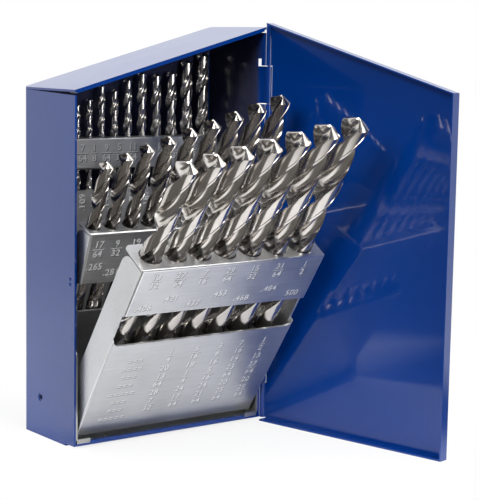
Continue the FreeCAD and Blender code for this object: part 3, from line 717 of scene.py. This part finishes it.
# %% Standing every drill in its rack
FRONT_LEAN = 33.4
MIDDLE_LEAN = 21.2
BACK_LEAN = 0.0
BACK_SIZES = range(4, 17)       # in 64ths of an inch
MIDDLE_SIZES = range(17, 26)
FRONT_SIZES = range(26, 33)
THIN_SHANK = 25.4
SHANK_GROWTH = 0.2              # longer by this for every 64th
FOOT_REACH = 0.1 * MM


def drill_name(size):
    """Name of a drill from its size in 64ths of an inch, in lowest terms."""
    shared = math.gcd(size, 64)
    return f"drill_{size // shared}_{64 // shared}"


def body_of_node(node):
    """Body that a frame node rides on."""
    return frame["nodes"][node]["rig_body"]


def middle_of(values):
    """Half way between the least and the greatest value."""
    return (max(values) + min(values)) / 2


def stand_drill(size, lean, look):
    """Detailed drill in place of the frame's plain one."""
    node = drill_name(size)
    tilt = Matrix.Rotation(math.radians(lean), 4, "X")
    upright = [tilt.inverted() @ v.co for v in frame["nodes"][node].data.vertices]
    low = min(p.z for p in upright)
    high = max(p.z for p in upright)
    foot = [p for p in upright if p.z < low + FOOT_REACH]
    centre = Vector((middle_of([p.x for p in foot]), middle_of([p.y for p in foot]), low))
    radius = size / 64 * INCH / 2
    shank = (THIN_SHANK + (size - BACK_SIZES[0]) * SHANK_GROWTH) * MM
    mesh = wound_drill("polished_" + node, radius, high - low, shank)
    mesh.transform(tilt @ Matrix.Translation(centre))
    mesh.materials.append(look)
    drill = bpy.data.objects.new("polished_" + node, mesh)
    scene.collection.objects.link(drill)
    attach(drill, body_of_node(node))
    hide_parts(node)
    return drill


for sizes, lean, look in ((BACK_SIZES, BACK_LEAN, thin_steel_painted_light), (MIDDLE_SIZES, MIDDLE_LEAN, middle_steel_painted_shade),
                          (FRONT_SIZES, FRONT_LEAN, drill_steel)):
    row = [stand_drill(size, lean, look) for size in sizes]
    print(len(row), "drills at", lean, "degrees, the last of", len(row[-1].data.polygons), "faces")

# %% [markdown]
# Sheet steel has no razor edges: a fold is rounded to about the sheet's thickness, and a sheared edge
# is broken slightly. Those small rounds are what catches the light. The frame's pieces have sharp
# corners, so each is copied, its facets are joined back into flats, and a narrow bevel goes on the edges.

# %% Rounding the sheet metal
WELD = 0.002 * MM
FLAT_DEG = 0.6
FOLD_SEGMENTS = 4
EDGE_SEGMENTS = 2
SHARP_EDGE_DEG = 32.0


def clean_copy(node, name):
    """Copy of a frame node as one welded mesh of flat faces."""
    mesh = frame["nodes"][node].data.copy()
    mesh.name = name
    mesh.materials.clear()
    shape = bmesh.new()
    shape.from_mesh(mesh)
    bmesh.ops.remove_doubles(shape, verts=shape.verts, dist=WELD)
    bmesh.ops.dissolve_limit(shape, angle_limit=math.radians(FLAT_DEG), verts=shape.verts,
                             edges=shape.edges, delimit={"NORMAL"})
    shape.to_mesh(mesh)
    shape.free()
    piece = bpy.data.objects.new(name, mesh)
    scene.collection.objects.link(piece)
    return piece


def fold(piece, chosen, radius):
    """Round the chosen edges of a piece like folds in the sheet, and mark them for a second finish, which
    paints a highlight on them.
    """
    shape = bmesh.new()
    shape.from_mesh(piece.data)
    edges = [edge for edge in shape.edges if all(chosen(end.co) for end in edge.verts)]
    bmesh.ops.bevel(shape, geom=edges, offset=radius, offset_type="OFFSET", segments=FOLD_SEGMENTS,
                    profile=0.5, affect="EDGES", clamp_overlap=False, material=1)
    shape.to_mesh(piece.data)
    shape.free()
    print(piece.name, "has", len(edges), "rounded edges")


def soften(piece, width):
    """Bevel the sharp edges of a piece and bake the result into its mesh."""
    bevel = piece.modifiers.new("broken edges", "BEVEL")
    bevel.width = width
    bevel.segments = EDGE_SEGMENTS
    bevel.limit_method = "ANGLE"
    bevel.angle_limit = math.radians(SHARP_EDGE_DEG)
    bevel.use_clamp_overlap = True
    for polygon in piece.data.polygons:
        polygon.use_smooth = True
    flat = piece.modifiers.new("flat faces stay flat", "WEIGHTED_NORMAL")
    flat.weight = 100
    flat.keep_sharp = True
    bpy.context.view_layer.update()
    graph = bpy.context.evaluated_depsgraph_get()
    result = bpy.data.meshes.new_from_object(piece.evaluated_get(graph))
    piece.modifiers.clear()
    piece.data = result


# %% [markdown]
# Each rounded copy then gets its finishes and stands for the frame's piece, so that it moves with the
# same body. The case and the door are the first two, in blue enamel.

# %% Case and door
def dress(piece, node, slot, *looks):
    """Give a piece its finishes and let it stand for a frame node."""
    places = [polygon.material_index for polygon in piece.data.polygons]
    piece.data.materials.clear()
    for look in looks:
        piece.data.materials.append(look)
    piece.data.polygons.foreach_set("material_index", places)
    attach(piece, body_of_node(node))
    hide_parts(node)
    print(piece.name, "has", len(piece.data.polygons), "faces")


for node, name, width in (("case_shell", "enamelled_case", 0.35), ("door_panel", "enamelled_door", 0.30)):
    piece = clean_copy(node, name)
    soften(piece, width * MM)
    dress(piece, node, "blue_paint", blue_paint)

# %% [markdown]
# The racks are zinc sheet with the same broken edges. A bright line runs along the folds round a rack's
# face and along the lower edge of its label strip, so those edges are rounded first, more widely than
# the others, and have a much lighter finish of their own: a painted highlight on top of the light that
# the rounds catch. A rack is measured in its own upright frame, whose origin is its pivot.

# %% Racks and carrier
FOLD_RADIUS = 0.95 * MM
NEAR = 0.02 * MM
RACKS = {
    "front": {"lean": FRONT_LEAN, "pivot": (0, -12.0, 12.0), "face": -10.0, "half": 51.0,
              "sheet": front_zinc_painted_light, "figures": number_bright},
    "middle": {"lean": MIDDLE_LEAN, "pivot": (0, 7.7, 18.5), "face": -7.8, "half": 51.0,
               "sheet": rack_zinc, "figures": number_white},
    "back": {"lean": BACK_LEAN, "pivot": (0, 12.55, 0), "face": 0.0, "half": 52.0,
             "sheet": back_zinc_painted_light, "figures": number_white},
}


def rack_turn(rack):
    """Matrix from a rack's upright frame to where it is displayed."""
    tilt = Matrix.Rotation(math.radians(RACKS[rack]["lean"]), 4, "X")
    return Matrix.Translation(Vector(RACKS[rack]["pivot"]) * MM) @ tilt


def at_face_sides(rack):
    """Test for the corners at the left and right of a rack's face, which its folds run between."""
    back_again = rack_turn(rack).inverted()
    face, half = RACKS[rack]["face"] * MM, RACKS[rack]["half"] * MM
    return lambda corner: (abs((back_again @ corner).y - face) < NEAR
                           and abs(abs(corner.x) - half) < NEAR)


carrier = clean_copy("rack_carrier", "plated_carrier")
soften(carrier, 0.25 * MM)
dress(carrier, "rack_carrier", "zinc_steel", carrier_zinc)
for rack, facts in RACKS.items():
    piece = clean_copy(rack + "_rack", "plated_" + rack + "_rack")
    fold(piece, at_face_sides(rack), FOLD_RADIUS)
    soften(piece, 0.22 * MM)
    # the rounded folds take the lighter zinc, a painted highlight
    dress(piece, rack + "_rack", "zinc_steel", facts["sheet"], fold_zinc_painted_highlight)

# %% [markdown]
# The middle rack hangs in tubular rivets whose hollow ends come through the painted walls. They are
# riveted before the case is sprayed, so the end is blue and only the inside part is bare zinc. The other
# rivets, the seats inside the racks and the hinge wire keep the frame's shape and only get a finish.

# %% Rivets, seats and wire
PAINTED_FROM_X = 52.9 * MM
tubes = clean_copy("middle_rack_rivets", "tubular_rivets")
soften(tubes, 0.15 * MM)
dress(tubes, "middle_rack_rivets", "zinc_steel", carrier_zinc, blue_paint)
for polygon in tubes.data.polygons:
    polygon.material_index = int(abs(polygon.center.x) > PAINTED_FROM_X)

KEPT = {"back_rack_seat": carrier_zinc, "middle_rack_seat": carrier_zinc, "front_rack_seat": carrier_zinc,
        "back_rack_rivets": carrier_zinc, "front_rack_rivets": carrier_zinc, "hinge_wire": wire_steel}
for node, look in KEPT.items():
    frame["nodes"][node].data.materials.clear()
    frame["nodes"][node].data.materials.append(look)
print(len(KEPT), "pieces keep the frame's shape")

# %% [markdown]
# Each hole has its size stamped on the face below it, as a fraction and in thousandths of an inch, and
# the front rack has a table of pitches below its window. They could be painted on with an image, but
# Blender's own lettering stays sharp: a text curve becomes a mesh of a figure. A bar is a flat block.

# %% Figures and bars
FIGURE = 4.7                # text size in mm: the figures are about three quarters of that high
FIGURE_THICK = 0.012
FIGURE_WEIGHT = 0.026       # how much the strokes are fattened, as a share of the size
FIGURE_SPACING = 1.08
BAR_HALF = 0.20


def figures(text, turn_deg=0.0):
    """Mesh of a short text, centred, in millimetres."""
    curve = bpy.data.curves.new("figures", "FONT")
    curve.body = text
    curve.size = FIGURE
    curve.align_x = "CENTER"
    curve.align_y = "CENTER"
    curve.space_character = FIGURE_SPACING
    curve.offset = FIGURE_WEIGHT * FIGURE
    curve.resolution_u = 2
    curve.extrude = FIGURE_THICK
    writing = bpy.data.objects.new("figures", curve)
    scene.collection.objects.link(writing)
    mesh = bpy.data.meshes.new_from_object(writing.evaluated_get(bpy.context.evaluated_depsgraph_get()))
    bpy.data.objects.remove(writing)
    mesh.transform(Matrix.Rotation(math.radians(turn_deg), 4, "Z"))
    return mesh


def bar(width):
    """Mesh of a fraction's bar, in millimetres."""
    shape = bmesh.new()
    bmesh.ops.create_cube(shape, size=2.0)
    bmesh.ops.scale(shape, vec=(width / 2, BAR_HALF, FIGURE_THICK), verts=shape.verts)
    mesh = bpy.data.meshes.new("bar")
    shape.to_mesh(mesh)
    shape.free()
    return mesh


# %% [markdown]
# The marks of one rack are gathered in one mesh and laid on its face with a matrix. Each is there twice:
# a dark copy, a little lower and to the right, lies under the bright one as its painted shadow.

# %% Stamping a rack
SHADOW_SHIFT = 0.32
SHADOW_LAYER = 1.1            # in front of the face, in thicknesses of a figure
BRIGHT_LAYER = 3.4


def stamp(rack, name, marks):
    """One piece from (mesh, x, z) marks on a rack's face, each with a painted shadow below and right of it.
    """
    face_y = RACKS[rack]["face"]
    shape = bmesh.new()
    upright = Matrix.Rotation(math.pi / 2, 4, "X")
    for mesh, x, z in marks:
        # the first, shifted copy is the painted shadow
        for shift, layer in ((SHADOW_SHIFT, SHADOW_LAYER), (0.0, BRIGHT_LAYER)):
            place = Matrix.Translation((x + shift, face_y - layer * FIGURE_THICK, z - shift)) @ upright
            mesh.transform(place)
            first = len(shape.faces)
            shape.from_mesh(mesh)
            shape.faces.ensure_lookup_table()
            for face in shape.faces[first:]:
                face.material_index = int(shift != 0.0)
            mesh.transform(place.inverted())
    bmesh.ops.scale(shape, vec=(MM, MM, MM), verts=shape.verts)
    mesh = bpy.data.meshes.new(name)
    shape.to_mesh(mesh)
    shape.free()
    mesh.transform(rack_turn(rack))
    mesh.materials.append(RACKS[rack]["figures"])
    mesh.materials.append(number_shadow)
    piece = bpy.data.objects.new(name, mesh)
    scene.collection.objects.link(piece)
    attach(piece, body_of_node(rack + "_rack"))
    print(name, "has", len(marks), "marks and", len(mesh.polygons), "faces")


# %% [markdown]
# A fraction is two figures and a bar, and it stands over the hole of its own drill. The frame's drill
# says where that is, so no list of places is needed. In two racks the thousandths stand higher and lower
# in turn to leave each other room, and in the back rack they are turned on end.

# %% The rows of sizes
FRACTION_STEP = 2.45
BAR_SHORT = 3.2             # under one figure, and under two
BAR_LONG = 6.2


def fraction_marks(size, x, z):
    """Fraction as two figures and a bar, centred at x, z."""
    shared = math.gcd(size, 64)
    above, below = size // shared, 64 // shared
    return [(figures(str(above)), x, z + FRACTION_STEP), (bar(BAR_SHORT if below < 10 else BAR_LONG), x, z),
            (figures(str(below)), x, z - FRACTION_STEP)]


def thousandths(size):
    """Size in thousandths of an inch, as it is stamped."""
    return f".{size * 1000 // 64:03d}"


def hole_x(size):
    """Where a drill stands across its rack, in millimetres."""
    return middle_of([v.co.x for v in frame["nodes"][drill_name(size)].data.vertices]) / MM


def size_row(sizes, fraction_z, decimal_z, fraction_shift=0.0, decimal_shift=0.0, turn_deg=0.0):
    """Marks of a row of holes; the decimals take turns at their heights."""
    marks = []
    for i, size in enumerate(sizes):
        x = hole_x(size)
        marks += fraction_marks(size, x + fraction_shift, fraction_z)
        marks.append((figures(thousandths(size), turn_deg), x + decimal_shift, decimal_z[i % len(decimal_z)]))
    return marks


# %% [markdown]
# The table below the front rack's window has five columns: a bolt size, its coarse thread and the drill
# for it, and its fine thread and the drill for that. The words beside the table are plain marks here.

# %% The numbers of the three racks
THREADS = ((16, -15.8, "20", 13, "28", 14), (20, -1.2, "18", 16, "24", 17), (24, 12.4, "16", 20, "24", 21),
           (28, 24.8, "14", 23, "20", 25), (32, 38.3, "13", 27, "20", 29))
BOLT_Z, COARSE_Z, COARSE_DRILL_Z, FINE_Z, FINE_DRILL_Z = 44.2, 36.3, 28.4, 20.6, 12.7
WORD_LENGTHS = (3, 4, 3, 3, 5, 3, 3, 5)
WORDS_X = -34.6
WORDS_TOP = 43.6
WORDS_STEP = 5.3

marks = size_row(FRONT_SIZES, 92.3, (76.8, 81.1), decimal_shift=-0.5)
for size, x, coarse, coarse_drill, fine, fine_drill in THREADS:
    marks += fraction_marks(size, x, BOLT_Z) + [(figures(coarse), x, COARSE_Z)]
    marks += fraction_marks(coarse_drill, x, COARSE_DRILL_Z) + [(figures(fine), x, FINE_Z)]
    marks += fraction_marks(fine_drill, x, FINE_DRILL_Z)
for i, length in enumerate(WORD_LENGTHS):
    marks.append((figures("=" * length), WORDS_X, WORDS_TOP - WORDS_STEP * i))
stamp("front", "front_rack_numbers", marks)
stamp("middle", "middle_rack_numbers", size_row(MIDDLE_SIZES, 82.9, (73.9, 70.4), 1.0, 0.8))
stamp("back", "back_rack_numbers", size_row(BACK_SIZES, 133.4, (109.8,), turn_deg=90.0))

# %% [markdown]
# Last, the scene is brought up to date.

# %% Last update
bpy.context.view_layer.update()
